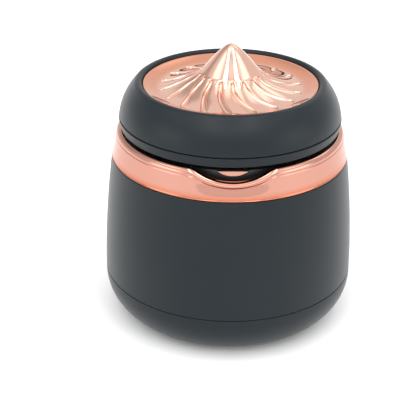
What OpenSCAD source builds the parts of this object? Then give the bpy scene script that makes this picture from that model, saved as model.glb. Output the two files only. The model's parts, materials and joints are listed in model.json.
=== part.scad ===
// Flip-lid pot: a round barrel with a press button at the front and a spring
// hinge at the back. The origin is the centre of the foot, +Z up, front at -Y.

/* [Body] */
// Widest diameter of the barrel
body_d = 74; // [62:0.5:92]
// Height of the barrel's top edge, where the trim ring sits
body_h = 50; // [42:0.5:62]
// Radius of the rounded bottom
base_round = 13; // [10.5:0.5:15]
// Height of the seam between base cover and barrel
base_h = 14.2; // [13.5:0.1:18]
// How far the barrel's top edge is drawn in from its widest radius
shoulder_in = 2.6; // [2.5:0.1:4]
// Outward bulge of the barrel's side
side_bulge = 0.6; // [0:0.05:0.6]
// Wall of the barrel and of the base cover
wall = 2; // [1.6:0.1:2.4]

/* [Foot] */
// Diameter of the anti-slip pad
foot_d = 44; // [30:1:46]
// Thickness of the anti-slip pad
foot_t = 1.4; // [1:0.1:1.8]
// How far the pad stands below the base cover
foot_proud = 0.5; // [0.3:0.1:0.8]

/* [Trim ring] */
// Height of the trim ring
band_h = 8.2; // [7.4:0.1:10]
// How far the ring's face leans in over its height
band_lean = 1.25; // [0.5:0.05:2]
// Width of the ring's rounded top
band_top_w = 1.85; // [1.5:0.05:2.4]
// Radius of the finger scoop
scoop_r = 20; // [16:0.5:26]
// Depth of the finger scoop below the ring's top edge
scoop_depth = 3.1; // [2.2:0.1:3.6]

/* [Cup and collar] */
// Sheet thickness of the liner cup
cup_t = 0.8; // [0.5:0.1:1.2]
// Height of the liner cup's floor above the ground
cup_z = 4.5; // [4:0.1:10]
// Width of the liner cup's rim flange
flange_w = 2.6; // [2:0.1:2.8]
// Depth of the recess behind the finger scoop
recess_depth = 1.3; // [0.8:0.1:1.5]
// Height of the neck collar
collar_h = 11.1; // [10.6:0.1:14]

/* [Latch] */
// Width of the half-moon push button
button_w = 8.6; // [7:0.1:10]
// Height of the half-moon push button
button_h = 1.55; // [1.2:0.05:1.9]
// How far the button stands out of the collar
button_proud = 0.3; // [0.1:0.05:0.5]
// Travel of the push button
button_travel = 0.8; // [0.5:0.05:0.8]
// Wire diameter of the latch spring
latch_wire = 0.3; // [0.2:0.05:0.4]

/* [Lid] */
// Gap between the trim ring and the lid
lid_gap = 0.9; // [0.6:0.1:1.5]
// How far the lid's side stands out over the ring's bore
lid_over = 0.95; // [0.5:0.05:1.2]
// Height of the lid's lower ring
lid_base_h = 2.8; // [2.4:0.1:4]
// Height of the lid's crown above the lower ring
crown_h = 10.2; // [9:0.1:11]
// Radius of the crown's rounded side
crown_r = 16.75; // [15.5:0.25:18]
// How far the centre of that rounding lies below the lower ring's top
crown_sink = 2; // [0:0.25:3]
// Width of the crown from its side to the dish opening
crown_w = 6.9; // [6.4:0.1:7.4]
// Wall of the crown
crown_wall = 1.8; // [1.4:0.1:2]

/* [Dish] */
// Height of the peak above the crown's rim
peak_h = 10.8; // [8:0.1:14]
// Slope of the peak's flank, as rise over run
peak_slope = 1.25; // [1.1:0.01:1.3]
// Bluntness of the peak's tip
tip_soft = 3; // [1:0.1:3.5]
// Radius of the ring where the grooves start
groove_r = 8.7; // [7.5:0.1:10]
// Number of grooves around the peak
grooves = 18; // [12:1:20]
// Sideways offset of each groove from the peak's axis
groove_skew = 4.3; // [0:0.1:5]
// Width of the smooth slope between floor and opening
slope_w = 4.9; // [4:0.1:6]
// Depth of the dish floor below the opening
dish_depth = 1.55; // [1:0.05:2.4]
// Thickness of the dish
dish_t = 1.2; // [1:0.05:1.5]

/* [Hinge] */
// Diameter of the hinge pin
pin_d = 1.6; // [1.2:0.1:1.8]
// Distance of the hinge axis behind the lid's side
hinge_back = 2.25; // [2.2:0.05:2.4]
// Height of the hinge axis above the lid's underside
hinge_up = 1.2; // [1:0.1:1.6]
// Width of the hinge block
hinge_w = 16.4; // [14:0.2:20]

/* [Fits] */
// Gap between pieces that fit into each other
fit_gap = 0.1; // [0.05:0.05:0.2]
// Radial gap between the hinge pin and what turns on it
pin_gap = 0.05; // [0.02:0.01:0.1]
// Gap between pieces that move past each other
move_gap = 0.2; // [0.15:0.05:0.3]
// Width of the seams in the outer surfaces
seam = 0.3; // [0.2:0.05:0.4]

/* [Hidden] */
$fn = 96;
eps = 0.01;
cut = 60;

// Radii, from the barrel inwards
body_r = body_d / 2;
neck_r = body_r - shoulder_in;
band_r = neck_r - band_lean;
bore_r = band_r - band_top_w;
collar_r = bore_r - fit_gap;
recess_r = collar_r - recess_depth;
lid_r = bore_r + lid_over;
front_wall = 0.9;
inner_wall = 0.9;
slide_t = 0.7;
catch_t = 0.7;
catch_nose = 0.3;
window_run = button_travel + catch_t + catch_nose + 2 * move_gap;
pocket_run = fit_gap + 2 * slide_t + window_run + button_travel;
collar_in = recess_r - front_wall - pocket_run - inner_wall;
cup_r = collar_in - 1;
flange_r = cup_r + flange_w;

// Heights, from the foot upwards
band_z = body_h + fit_gap;
band_top = band_z + band_h;
collar_top = band_top - 0.7;
collar_z = collar_top - collar_h;
shelf_t = 2;
lid_z = band_top + lid_gap;
part_z = lid_z + lid_base_h;
rim_z = part_z + crown_h;
tip_z = rim_z + peak_h;
flange_top = collar_top - 0.2;

// Outer profile of base cover and barrel
base_cx = body_r - base_round;
function side_t(z) = (z - base_round) / (body_h - base_round);
function side_r(z) = body_r - shoulder_in * side_t(z) + 4 * side_bulge * side_t(z) * (1 - side_t(z));
function arc(cx, cz, r, a0, a1, n) =
    [for (i = [0:n]) let (a = a0 + (a1 - a0) * i / n) [cx + r * cos(a), cz + r * sin(a)]];
function side(z0, z1, inset, n) =
    [for (i = [0:n]) let (z = z0 + (z1 - z0) * i / n) [side_r(z) - inset, z]];
function reverse(list) = [for (i = [len(list) - 1:-1:0]) list[i]];
module revolve(points) rotate_extrude() polygon(points);

// Screws: one self-tapping size everywhere
screw_r = 0.9;
head_r = 1.6;
head_t = 1;
base_screws_n = 3;
base_screw_r = base_cx + 5;
base_boss_r = 2.6;
boss_z = 6.7;
boss_top = 24;
module around(n, r, start) for (i = [0:n - 1]) rotate(start + i * 360 / n) translate([r, 0, 0]) children();
module screw(length) {
    translate([0, 0, -head_t / 2]) cylinder(r = screw_r, h = length + head_t / 2);
    difference() {
        translate([0, 0, -head_t]) cylinder(r = head_r, h = head_t);
        translate([-head_r, -0.2, -head_t - eps]) cube([2 * head_r, 0.4, 0.5]);
        translate([-0.2, -head_r, -head_t - eps]) cube([0.4, 2 * head_r, 0.5]);
    }
}

// --- Base -------------------------------------------------------------
floor_t = 2;
foot_recess = foot_t - foot_proud;
spigot_t = 1.2;
spigot_h = 3;
base_screw_z = 3.6;
base_top = base_h - seam / 2;

module foot_pad() {
    color("#26292b") difference() {
        cylinder(d = foot_d, h = foot_t);
        translate([0, 0, -eps]) cylinder(d = foot_d - 8, h = 0.3);
    }
}

module base_cover() {
    base_start = asin((foot_proud - base_round) / base_round);
    inner_round = base_round - wall;
    inside_z = foot_proud + floor_t;
    inner_start = asin((inside_z - base_round) / inner_round);
    spigot_r = side_r(base_h) - wall - fit_gap;
    color("#3c464b") difference() {
        union() {
            revolve(concat([[0, foot_proud]],
                arc(base_cx, base_round, base_round, base_start, 0, 10),
                [[side_r(base_top), base_top], [spigot_r, base_top],
                 [spigot_r, base_top + spigot_h], [spigot_r - spigot_t, base_top + spigot_h],
                 [spigot_r - spigot_t, base_top - spigot_t]],
                arc(base_cx, base_round, inner_round, 0, inner_start, 8),
                [[0, inside_z]]));
            intersection() {
                around(base_screws_n, base_screw_r, 30) cylinder(r = base_boss_r, h = boss_z - fit_gap);
                revolve(concat([[0, inside_z - 0.5]], arc(base_cx, base_round, base_round - 0.5,
                    asin((inside_z - 0.5 - base_round) / (base_round - 0.5)), 0, 8), [[0, base_round]]));
            }
        }
        translate([0, 0, foot_proud - eps]) cylinder(d = foot_d + 2 * fit_gap, h = foot_recess + eps);
        around(base_screws_n, base_screw_r, 30) {
            translate([0, 0, -1]) cylinder(r = screw_r + fit_gap, h = boss_z + 1);
            translate([0, 0, -1]) cylinder(r = head_r + fit_gap, h = base_screw_z + 1);
        }
    }
}

module base_screws() {
    color("#9aa0a4") around(base_screws_n, base_screw_r, 30)
        translate([0, 0, base_screw_z]) screw(9);
}

// --- Barrel -----------------------------------------------------------
shelf_in = collar_r - 4.4;
collar_screw_r = collar_r - 2.9;
collar_screws_n = 4;

module body_shell() {
    bottom = base_h + seam / 2;
    color("#3c464b") difference() {
        union() {
            revolve(concat(side(bottom, body_h, 0, 12), reverse(side(bottom, body_h, wall, 12))));
            translate([0, 0, collar_z - shelf_t]) difference() {
                cylinder(r = side_r(collar_z) - wall / 2, h = shelf_t);
                translate([0, 0, -1]) cylinder(r = shelf_in, h = shelf_t + 2);
            }
            around(base_screws_n, base_screw_r, 30) {
                translate([0, 0, boss_z]) cylinder(r = base_boss_r, h = boss_top - boss_z);
                translate([0, -0.8, base_top + spigot_h + 1])
                    cube([side_r(boss_top) - wall / 2 - base_screw_r, 1.6, boss_top - base_top - spigot_h - 1]);
            }
        }
        around(base_screws_n, base_screw_r, 30) translate([0, 0, boss_z - 1])
            cylinder(r = screw_r, h = 10);
        around(collar_screws_n, collar_screw_r, 45) translate([0, 0, collar_z - shelf_t - 1])
            cylinder(r = screw_r + fit_gap, h = shelf_t + 2);
    }
}

// --- Trim ring --------------------------------------------------------
scoop_z = band_top - scoop_depth + scoop_r;
notch_z = band_top - 3.9;
module trim_ring() {
    edge_cut = 0.3;
    top_round = band_top_w - edge_cut - 0.05;
    lip_run = 1.8;
    lip_l = 5;
    color("#e3a88f") difference() {
        revolve(concat([[bore_r, band_z], [neck_r + 0.05, band_z]],
            [[band_r, band_top - top_round]],
            arc(band_r - top_round, band_top - top_round, top_round, 12, 90, 6),
            [[bore_r + edge_cut, band_top], [bore_r, band_top - edge_cut]]));
        translate([0, -bore_r + lip_l, scoop_z]) rotate([90, 0, 0]) cylinder(r = scoop_r, h = cut);
        translate([0, -bore_r, scoop_z]) rotate([90, 0, 0])
            cylinder(r1 = scoop_r, r2 = scoop_r + lip_run, h = lip_l);
        translate([-hinge_w / 2 - move_gap, 0, notch_z]) cube([hinge_w + 2 * move_gap, cut, cut]);
    }
}

// --- Neck collar ------------------------------------------------------
button_top = band_top - 0.85;
pocket_w = 10.4;
pocket_y = -(recess_r - front_wall);
pocket_z = collar_z + 1.4;
block_y = collar_r - 3.8;
module half_moon(width, height) {
    moon_r = (width * width / 4 + height * height) / (2 * height);
    difference() {
        translate([0, moon_r - height]) circle(r = moon_r);
        translate([-width, 0]) square([2 * width, 2 * moon_r]);
    }
}
module along_y(y, length) translate([0, y, 0]) rotate([90, 0, 0]) linear_extrude(length) children();

module neck_collar() {
    color("#17191a") difference() {
        revolve([[collar_in, collar_z], [collar_r, collar_z], [collar_r, collar_top - 0.3],
            [collar_r - 0.3, collar_top], [flange_r + fit_gap, collar_top],
            [flange_r + fit_gap, flange_top - cup_t], [collar_in, flange_top - cup_t]]);
        difference() {
            translate([-scoop_r * 0.56, -collar_r - 1, collar_top - 4.4])
                cube([scoop_r * 1.12, collar_r / 2, 6]);
            cylinder(r = recess_r, h = cut + collar_top);
        }
        translate([-pocket_w / 2, pocket_y, pocket_z]) cube([pocket_w, pocket_run, cut]);
        translate([0, 0, button_top + fit_gap]) along_y(pocket_y + 1, 4)
            half_moon(button_w + 2 * fit_gap, button_h + 2 * fit_gap);
        translate([-hinge_w / 2 - fit_gap, block_y - fit_gap, collar_z + 3]) cube([hinge_w + 2 * fit_gap, cut, cut]);
        around(collar_screws_n, collar_screw_r, 45) translate([0, 0, collar_z - 1]) cylinder(r = screw_r, h = 6);
        for (x = [-1, 1]) translate([x * hinge_screw_x, hinge_screw_y, collar_z - eps])
            cylinder(r = screw_r, h = 4);
    }
}

module collar_screws() {
    color("#9aa0a4") around(collar_screws_n, collar_screw_r, 45)
        translate([0, 0, collar_z - shelf_t]) screw(6);
}

module liner_cup() {
    corner = 4;
    color("#b9bdc0") revolve(concat([[0, cup_z]],
        arc(cup_r - corner, cup_z + corner, corner, -90, 0, 6),
        [[cup_r, flange_top - cup_t], [flange_r, flange_top - cup_t], [flange_r, flange_top],
         [cup_r - cup_t, flange_top]],
        arc(cup_r - corner, cup_z + corner, corner - cup_t, 0, -90, 6),
        [[0, cup_z + cup_t]]));
}

// --- Latch ------------------------------------------------------------
slide_w = pocket_w - 2 * fit_gap;
slide_top = button_top - 0.95;
slide_z = pocket_z + fit_gap;
window_w = 6;
latch_spring_r = 1;
latch_spring_z = slide_z + 1.6;
slide_y = pocket_y + fit_gap;

module latch_button() {
    color("#e3a88f") translate([0, 0, button_top])
        along_y(slide_y, front_wall + button_proud + fit_gap) half_moon(button_w, button_h);
}

module latch_slide() {
    rear_z = slide_z + 3.4;
    color("#17191a") difference() {
        union() {
            translate([-slide_w / 2, slide_y, slide_z]) cube([slide_w, slide_t, slide_top - slide_z]);
            translate([-slide_w / 2, slide_y, rear_z])
                cube([slide_w, 2 * slide_t + window_run, slide_top - rear_z]);
        }
        translate([-window_w / 2, slide_y + slide_t, rear_z - 1]) cube([window_w, window_run, cut]);
    }
}

// A round wire along a path that winds about the Z axis, as one closed skin
function coil_path(mean_r, turns, length, start, turn_dir, leg_0, leg_1) =
    let (steps = ceil(turns * 20), a_1 = start + turn_dir * 360 * turns,
        body = [for (i = [0:steps]) let (a = start + turn_dir * 360 * turns * i / steps)
            [mean_r * cos(a), mean_r * sin(a), length * i / steps]],
        out_0 = turn_dir * [sin(start), -cos(start), 0], out_1 = turn_dir * [-sin(a_1), cos(a_1), 0])
    concat(leg_0 > 0 ? [body[0] + leg_0 * out_0] : [], body, leg_1 > 0 ? [body[steps] + leg_1 * out_1] : []);
function unit(v) = v / norm(v);
module wire(path, wire_r) {
    ring_n = 8;
    last = len(path) - 1;
    points = [for (i = [0:last]) let (
        along = unit(path[min(i + 1, last)] - path[max(i - 1, 0)]),
        side_dir = unit(cross([0, 0, 1], along)), up_dir = cross(along, side_dir))
        for (j = [0:ring_n - 1]) let (b = 360 * j / ring_n)
            path[i] + wire_r * (cos(b) * side_dir + sin(b) * up_dir)];
    sides = [for (i = [0:last - 1]) for (j = [0:ring_n - 1]) let (k = (j + 1) % ring_n)
        [i * ring_n + j, i * ring_n + k, (i + 1) * ring_n + k, (i + 1) * ring_n + j]];
    polyhedron(points, concat([[for (j = [ring_n - 1:-1:0]) j]], sides,
        [[for (j = [0:ring_n - 1]) last * ring_n + j]]));
}

module latch_spring() {
    room = pocket_run - slide_t - fit_gap;
    color("#c9ccce") translate([0, slide_y + slide_t + latch_wire, latch_spring_z]) rotate([-90, 0, 0])
        wire(coil_path(latch_spring_r, 4.5, room - 2 * latch_wire, 0, 1, 0, 0), latch_wire / 2);
}

// --- Hinge ------------------------------------------------------------
axis_y = lid_r + hinge_back;
axis_z = lid_z + hinge_up;
ear_r = 2.3;
ear_t = 2.2;
knuckle_r = 2.2;
knuckle_t = 3.1;
knuckle_x = hinge_w / 2 - ear_t - move_gap - knuckle_t;
bridge_t = 2.2;
block_top = collar_top - 0.3;
hinge_screw_x = hinge_w / 4;
hinge_screw_y = block_y + 1.7;
hinge_screw_z = block_top - 0.1;
spring_wire = 0.5;
spring_r = 1.4;
spring_x = knuckle_x - spring_wire / 2;
spring_foot_z = notch_z + fit_gap + bridge_t - 0.9;
module along_x(x, length) translate([x, axis_y, axis_z]) rotate([0, 90, 0]) children();

module hinge_block() {
    color("#17191a") difference() {
        union() {
            intersection() {
                translate([-hinge_w / 2, block_y, collar_z + 3 + fit_gap])
                    cube([hinge_w, cut, block_top - collar_z - 3 - fit_gap]);
                cylinder(r = collar_r, h = cut + collar_top);
            }
            translate([-hinge_w / 2, block_y + 1, notch_z + fit_gap]) cube([hinge_w, axis_y + ear_r - block_y - 1, bridge_t]);
            for (x = [-hinge_w / 2, hinge_w / 2 - ear_t]) {
                translate([x, axis_y - ear_r, notch_z + fit_gap]) cube([ear_t, 2 * ear_r, axis_z - notch_z - fit_gap]);
                along_x(x) cylinder(r = ear_r, h = ear_t);
            }
        }
        along_x(-hinge_w) cylinder(r = pin_d / 2, h = 2 * hinge_w);
        translate([fit_gap - spring_x - 0.4, axis_y - spring_r - 0.4, spring_foot_z - fit_gap]) cube([0.8, 0.8, 2]);
        for (x = [-1, 1]) translate([x * hinge_screw_x, hinge_screw_y, 0]) {
            cylinder(r = screw_r + fit_gap, h = cut + collar_top);
            translate([0, 0, hinge_screw_z - head_t]) cylinder(r = head_r + fit_gap, h = cut);
        }
    }
}

module hinge_block_screws() {
    color("#9aa0a4") for (x = [-1, 1]) translate([x * hinge_screw_x, hinge_screw_y, hinge_screw_z - head_t])
        mirror([0, 0, 1]) screw(hinge_screw_z - head_t - collar_z - 0.5);
}

module hinge_pin() {
    color("#c9ccce") along_x(-hinge_w / 2 + 0.2) cylinder(d = pin_d, h = hinge_w - 0.4);
}

module hinge_spring() {
    coil_l = 2 * (spring_x - fit_gap);
    color("#c9ccce") along_x(-coil_l / 2)
        wire(coil_path(spring_r, 6.75, coil_l, 270, -1, axis_z - spring_foot_z, 4.5), spring_wire / 2);
}

// --- Lid --------------------------------------------------------------
crown_cz = part_z - crown_sink;
crown_cx = lid_r - 0.1 - sqrt(pow(crown_r, 2) - pow(crown_sink, 2));
rim_round = 0.9;
opening_r = lid_r - crown_w;
skirt_wall = 1.5;
ledge_w = 1.7;
ledge_z = rim_z - 6;
lid_boss_r = 1.9;
lid_screws_n = 4;
cavity_in = opening_r + skirt_wall;
cavity_r = crown_r - crown_wall;
plate_t = 1.8;
lid_screw_r = cavity_in + 1.4;

module lid_shell() {
    crown_top = rim_z - 0.1;
    crown_a = asin((crown_top - crown_cz) / crown_r);
    crown_start = asin((crown_sink + 0.5) / crown_r);
    cavity_a = acos((cavity_in - crown_cx) / cavity_r);
    color("#3c464b") difference() {
        union() {
            difference() {
                revolve(concat([[opening_r, ledge_z - 1.6], [cavity_in, part_z + 1.5], [cavity_in, part_z + seam / 2],
                    [lid_r - 0.1, part_z + seam / 2]],
                    arc(crown_cx, crown_cz, crown_r, crown_start, crown_a, 12),
                    arc(opening_r + rim_round, rim_z - rim_round, rim_round, 70, 180, 6),
                    [[opening_r, ledge_z], [opening_r - ledge_w, ledge_z], [opening_r - ledge_w, ledge_z - 1.6]]));
                revolve(concat([[cavity_in, part_z - 1]],
                    arc(crown_cx, crown_cz, cavity_r, asin((crown_sink - 1) / cavity_r), cavity_a, 10)));
            }
            around(lid_screws_n, lid_screw_r, 45) translate([0, 0, lid_z + plate_t + 0.05])
                cylinder(r = lid_boss_r, h = 6);
        }
        around(lid_screws_n, lid_screw_r, 45) translate([0, 0, lid_z]) cylinder(r = screw_r, h = 6.5);
    }
}

module lid_base() {
    top = part_z - seam / 2;
    inset = 0.3;
    arm_x = knuckle_x + knuckle_t + fit_gap;
    color("#3c464b") difference() {
        revolve([[0, lid_z], [lid_r - inset - 0.2, lid_z], [lid_r - inset, lid_z + 0.2], [lid_r - 0.05, top],
            [lid_r - 0.9, top], [lid_r - 0.9, part_z + seam / 2], [cavity_in + 3.4, part_z + seam / 2],
            [cavity_in + 3.4, lid_z + plate_t], [0, lid_z + plate_t]]);
        around(lid_screws_n, lid_screw_r, 45) translate([0, 0, lid_z - 1]) {
            cylinder(r = screw_r + fit_gap, h = cut);
            cylinder(r = head_r + fit_gap, h = head_t + 1.05);
        }
        translate([-arm_x, arm_y - fit_gap, lid_z - 1]) cube([2 * arm_x, cut, arm_t + 1 + fit_gap]);
        for (x = [-1, 1]) translate([x * arm_screw_x, arm_screw_y, lid_z]) cylinder(r = screw_r, h = cut);
        translate([-catch_w / 2 - fit_gap, catch_y - fit_gap, lid_z - 1])
            cube([catch_w + 2 * fit_gap, catch_foot + 2 * fit_gap, 1 + catch_in]);
    }
}

// Height of the dish's surface: a rounded peak, a ribbed floor, a smooth slope
dish_edge_r = opening_r - 0.25;
floor_r = dish_edge_r - slope_w;
edge_z = rim_z - 0.7;
floor_z = edge_z - dish_depth;
floor_curve = 1.6;
slope_curve = 1.3;
function peak_z(r) = tip_z + tip_soft - sqrt(pow(peak_slope * r, 2) + tip_soft * tip_soft);
foot_of_peak = peak_z(groove_r);
function dish_z(r) =
    r < groove_r ? peak_z(r)
    : r < floor_r ? floor_z + (foot_of_peak - floor_z) * pow((floor_r - r) / (floor_r - groove_r), floor_curve)
    : floor_z + dish_depth * pow((r - floor_r) / slope_w, slope_curve);
dish_steps = [0, 0.3, 0.6, 1.2, 2, 3, 5, 7];

module lid_dish() {
    groove_w = 1.25;
    groove_lift = 0.55;
    skirt_t = 1.2;
    radii = concat(dish_steps,
        [for (i = [0:8]) groove_r + (floor_r - groove_r) * i / 8],
        [for (i = [1:6]) floor_r + (dish_edge_r - floor_r) * i / 6]);
    start = [sqrt(groove_r * groove_r - groove_skew * groove_skew), dish_z(groove_r) + groove_lift];
    end = [sqrt(floor_r * floor_r - groove_skew * groove_skew), dish_z(floor_r) + groove_lift];
    run = end - start;
    first_turn = asin(groove_skew / groove_r);
    color("#e3a88f") difference() {
        revolve(concat([for (r = radii) [r, dish_z(r)]],
            [[dish_edge_r, ledge_z + 0.02], [dish_edge_r - skirt_t, ledge_z + 0.02]],
            [for (r = reverse(radii)) if (r < dish_edge_r - skirt_t) [r, dish_z(r) - dish_t]]));
        for (i = [0:grooves - 1]) rotate(i * 360 / grooves - 90 + first_turn) translate([start[0], -groove_skew, start[1]])
            rotate([0, atan2(run[0], run[1]), 0]) {
                cylinder(r = groove_w, h = norm(run), $fn = 24);
                sphere(r = groove_w, $fn = 24);
            }
    }
}

plate_r = cup_r - cup_t - 0.4;
module lid_plate() {
    color("#b9bdc0") translate([0, 0, lid_z - 0.6]) cylinder(r = plate_r, h = 0.6);
}

module lid_gasket() {
    bottom = flange_top + 0.15;
    color("#5b6064") translate([0, 0, bottom]) difference() {
        cylinder(r = flange_r - 0.1, h = lid_z - bottom);
        translate([0, 0, -1]) cylinder(r = plate_r + fit_gap, h = lid_z - bottom + 2);
    }
}

// The hook hangs in the slide's window; its nose points back
catch_w = 5;
catch_foot = 1.6;
catch_in = 1.4;
catch_y = slide_y + slide_t + move_gap + button_travel;
catch_low = slide_top - 2.2;
module lid_catch() {
    color("#17191a") {
        translate([-catch_w / 2, catch_y, lid_z]) cube([catch_w, catch_foot, catch_in - fit_gap]);
        translate([-catch_w / 2, catch_y, catch_low]) cube([catch_w, catch_t, lid_z - catch_low + eps]);
        translate([-catch_w / 2, catch_y, catch_low]) cube([catch_w, catch_t + catch_nose, 0.8]);
    }
}

arm_t = 1.4;
arm_y = lid_screw_r - 3.6;
arm_screw_x = 3.4;
arm_screw_y = arm_y + 2.6;
module lid_arm() {
    arm_x = knuckle_x + knuckle_t;
    color("#17191a") difference() {
        union() {
            translate([-arm_x, arm_y, lid_z]) cube([2 * arm_x, lid_r - arm_y - 1.2, arm_t]);
            for (x = [-arm_x, knuckle_x]) {
                translate([x, arm_y, lid_z]) cube([knuckle_t, axis_y - arm_y, arm_t]);
                along_x(x) cylinder(r = knuckle_r, h = knuckle_t);
            }
        }
        along_x(-hinge_w) cylinder(r = pin_d / 2 + pin_gap, h = 2 * hinge_w);
        for (x = [-1, 1]) translate([x * arm_screw_x, arm_screw_y, lid_z - 1]) {
            cylinder(r = screw_r + fit_gap, h = cut);
            cylinder(r = head_r + fit_gap, h = 1 + head_t - 0.2);
        }
    }
}

module arm_screws() {
    color("#9aa0a4") for (x = [-1, 1]) translate([x * arm_screw_x, arm_screw_y, lid_z + head_t - 0.2]) screw(1);
}

module lid_screws() {
    color("#9aa0a4") around(lid_screws_n, lid_screw_r, 45) translate([0, 0, lid_z + head_t]) screw(4.5);
}

foot_pad();
base_cover();
base_screws();
body_shell();
trim_ring();
neck_collar();
collar_screws();
liner_cup();
latch_button();
latch_slide();
latch_spring();
hinge_block();
hinge_block_screws();
hinge_pin();
hinge_spring();
lid_shell();
lid_base();
lid_dish();
lid_plate();
lid_gasket();
lid_catch();
lid_arm();
arm_screws();
lid_screws();
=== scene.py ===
# %% [markdown]
# # A small flip-lid pot, piece by piece
#
# The pot has a satin slate barrel, a mirror-bright rose gold trim ring with a finger scoop, and a sprung
# lid with a rose gold dish set into it. Most of its skins are bodies of revolution, so the lesson is about
# turning outlines on a lathe, and about what to do where the outline changes on the way round.
#
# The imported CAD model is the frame. It fixes every size and every joint. This script builds the visible
# skins over it and gives each piece its finish.

# %% Load the frame
import json
import math

import bmesh
import bpy
from mathutils import Euler, Matrix, Vector


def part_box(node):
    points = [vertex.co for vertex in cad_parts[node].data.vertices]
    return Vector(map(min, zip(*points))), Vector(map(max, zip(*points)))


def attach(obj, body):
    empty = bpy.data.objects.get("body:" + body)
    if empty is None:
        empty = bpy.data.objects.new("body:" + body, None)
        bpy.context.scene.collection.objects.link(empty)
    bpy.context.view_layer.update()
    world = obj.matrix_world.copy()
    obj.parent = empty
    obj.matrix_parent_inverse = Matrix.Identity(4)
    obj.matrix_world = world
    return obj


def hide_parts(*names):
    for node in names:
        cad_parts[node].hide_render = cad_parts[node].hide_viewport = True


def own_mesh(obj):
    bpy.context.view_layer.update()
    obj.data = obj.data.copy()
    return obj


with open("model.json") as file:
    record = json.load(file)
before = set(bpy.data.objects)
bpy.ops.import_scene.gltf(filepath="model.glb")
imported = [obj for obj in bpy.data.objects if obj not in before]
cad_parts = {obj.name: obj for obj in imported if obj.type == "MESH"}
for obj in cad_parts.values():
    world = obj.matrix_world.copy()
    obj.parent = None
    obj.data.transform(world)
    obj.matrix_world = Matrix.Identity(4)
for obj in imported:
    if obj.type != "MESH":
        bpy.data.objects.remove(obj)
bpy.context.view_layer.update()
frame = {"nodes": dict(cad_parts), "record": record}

# %% [markdown]
# Sizes below are written in millimetres, as they would be on a drawing, and turned into metres only when
# a mesh is made. The main sizes are read off the CAD nodes, so the skins follow the frame. The finer ones,
# such as seams and roundings, are given here.

# %% Read the main sizes off the frame
MM = 0.001


def corners(node):
    low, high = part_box(node)
    return [v / MM for v in low], [v / MM for v in high]


def radius_of(node):
    low, high = corners(node)
    return (high[0] - low[0]) / 2


belly_r = radius_of("base_cover")
ring_low, ring_high = corners("trim_ring")
ring_z, ring_top = ring_low[2], ring_high[2]
ring_foot_r = radius_of("trim_ring")
lid_high = corners("lid_shell")[1]
lid_r = radius_of("lid_base")
lid_z = corners("lid_base")[0][2]
parting_w = 0.3
parting_z = corners("lid_base")[1][2] - parting_w / 2
rim_z = lid_high[2]
dish_low, dish_high = corners("lid_dish")
dish_r = radius_of("lid_dish")
peak_top = dish_high[2]
print(f"barrel radius {belly_r:.2f}, trim ring {ring_z:.1f} to {ring_top:.1f}, peak at {peak_top:.1f} mm")

# %% [markdown]
# ## The lathe
#
# A turned piece is one outline and one axis. The outline is drawn as a few corners, each with its own
# rounding, because no edge on a moulded or plated piece is really sharp: a rounded edge is what catches
# the light. Blender's Screw modifier could turn it as well, but building the rings in bmesh gives one
# clean skin of quads with no doubled seam, and poles where the outline meets the axis.

# %% Round the corners of an outline
def rounded(corner_list, steps=5, closed=True):
    """Corners are (radius, height, rounding). Returns the outline's points with each corner rounded."""
    count = len(corner_list)
    points = []
    for i, (r, z, rounding) in enumerate(corner_list):
        here = Vector((r, z))
        if rounding <= 0 or (not closed and i in (0, count - 1)):
            points.append(here)
            continue
        before = Vector(corner_list[i - 1][:2]) - here
        after = Vector(corner_list[(i + 1) % count][:2]) - here
        half = before.angle(after) / 2
        reach = min(rounding / math.tan(half), before.length * 0.49, after.length * 0.49)
        start, end = here + before.normalized() * reach, here + after.normalized() * reach
        middle = (start + end) / 2
        centre = here + (middle - here).normalized() * (reach / math.cos(half))
        radius = (start - centre).length
        for k in range(steps + 1):
            blend = start.lerp(end, k / steps) - centre
            points.append(centre + blend.normalized() * radius)
    return points


# %% Arcs for the long curves
def arc(centre_r, centre_z, radius, from_deg, to_deg, steps):
    """Corners along an arc, without rounding of their own."""
    angles = [math.radians(from_deg + (to_deg - from_deg) * i / steps) for i in range(steps + 1)]
    return [(centre_r + radius * math.cos(a), centre_z + radius * math.sin(a), 0) for a in angles]


# %% Turn rings of points into one skin
TURNS = 192


def make_object(name, mesh, crease_deg=40):
    for polygon in mesh.polygons:
        polygon.use_smooth = True
    mesh.set_sharp_from_angle(angle=math.radians(crease_deg))
    obj = bpy.data.objects.new(name, mesh)
    bpy.context.scene.collection.objects.link(obj)
    print(f"{name}: {len(mesh.polygons)} faces")
    return obj


def skin(name, rings, closed, crease_deg=40):
    """Rings are lists of points in millimetres, all the same length, or single points for a pole."""
    build = bmesh.new()
    rows = [[build.verts.new(Vector(p) * MM) for p in ring] for ring in rings]
    pairs = list(zip(rows, rows[1:])) + ([(rows[-1], rows[0])] if closed else [])
    for lower, upper in pairs:
        count = max(len(lower), len(upper))
        for i in range(count):
            j = (i + 1) % count
            below, above = len(lower), len(upper)
            around_face = [lower[i % below], lower[j % below], upper[j % above], upper[i % above]]
            build.faces.new(list(dict.fromkeys(around_face)))
    bmesh.ops.recalc_face_normals(build, faces=build.faces)
    mesh = bpy.data.meshes.new(name)
    build.to_mesh(mesh)
    build.free()
    return make_object(name, mesh, crease_deg)


def turned(name, outline, turns=TURNS, crease_deg=40):
    """Turns an outline about Z. An outline that starts and ends on the axis gets a pole at each end."""
    on_axis = abs(outline[0][0]) < 1e-6
    rings = []
    for point in outline:
        if abs(point[0]) < 1e-6:
            rings.append([(0, 0, point[1])])
        else:
            angles = [2 * math.pi * i / turns for i in range(turns)]
            rings.append([(point[0] * math.cos(a), point[0] * math.sin(a), point[1]) for a in angles])
    return skin(name, rings, closed=not on_axis, crease_deg=crease_deg)
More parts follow.
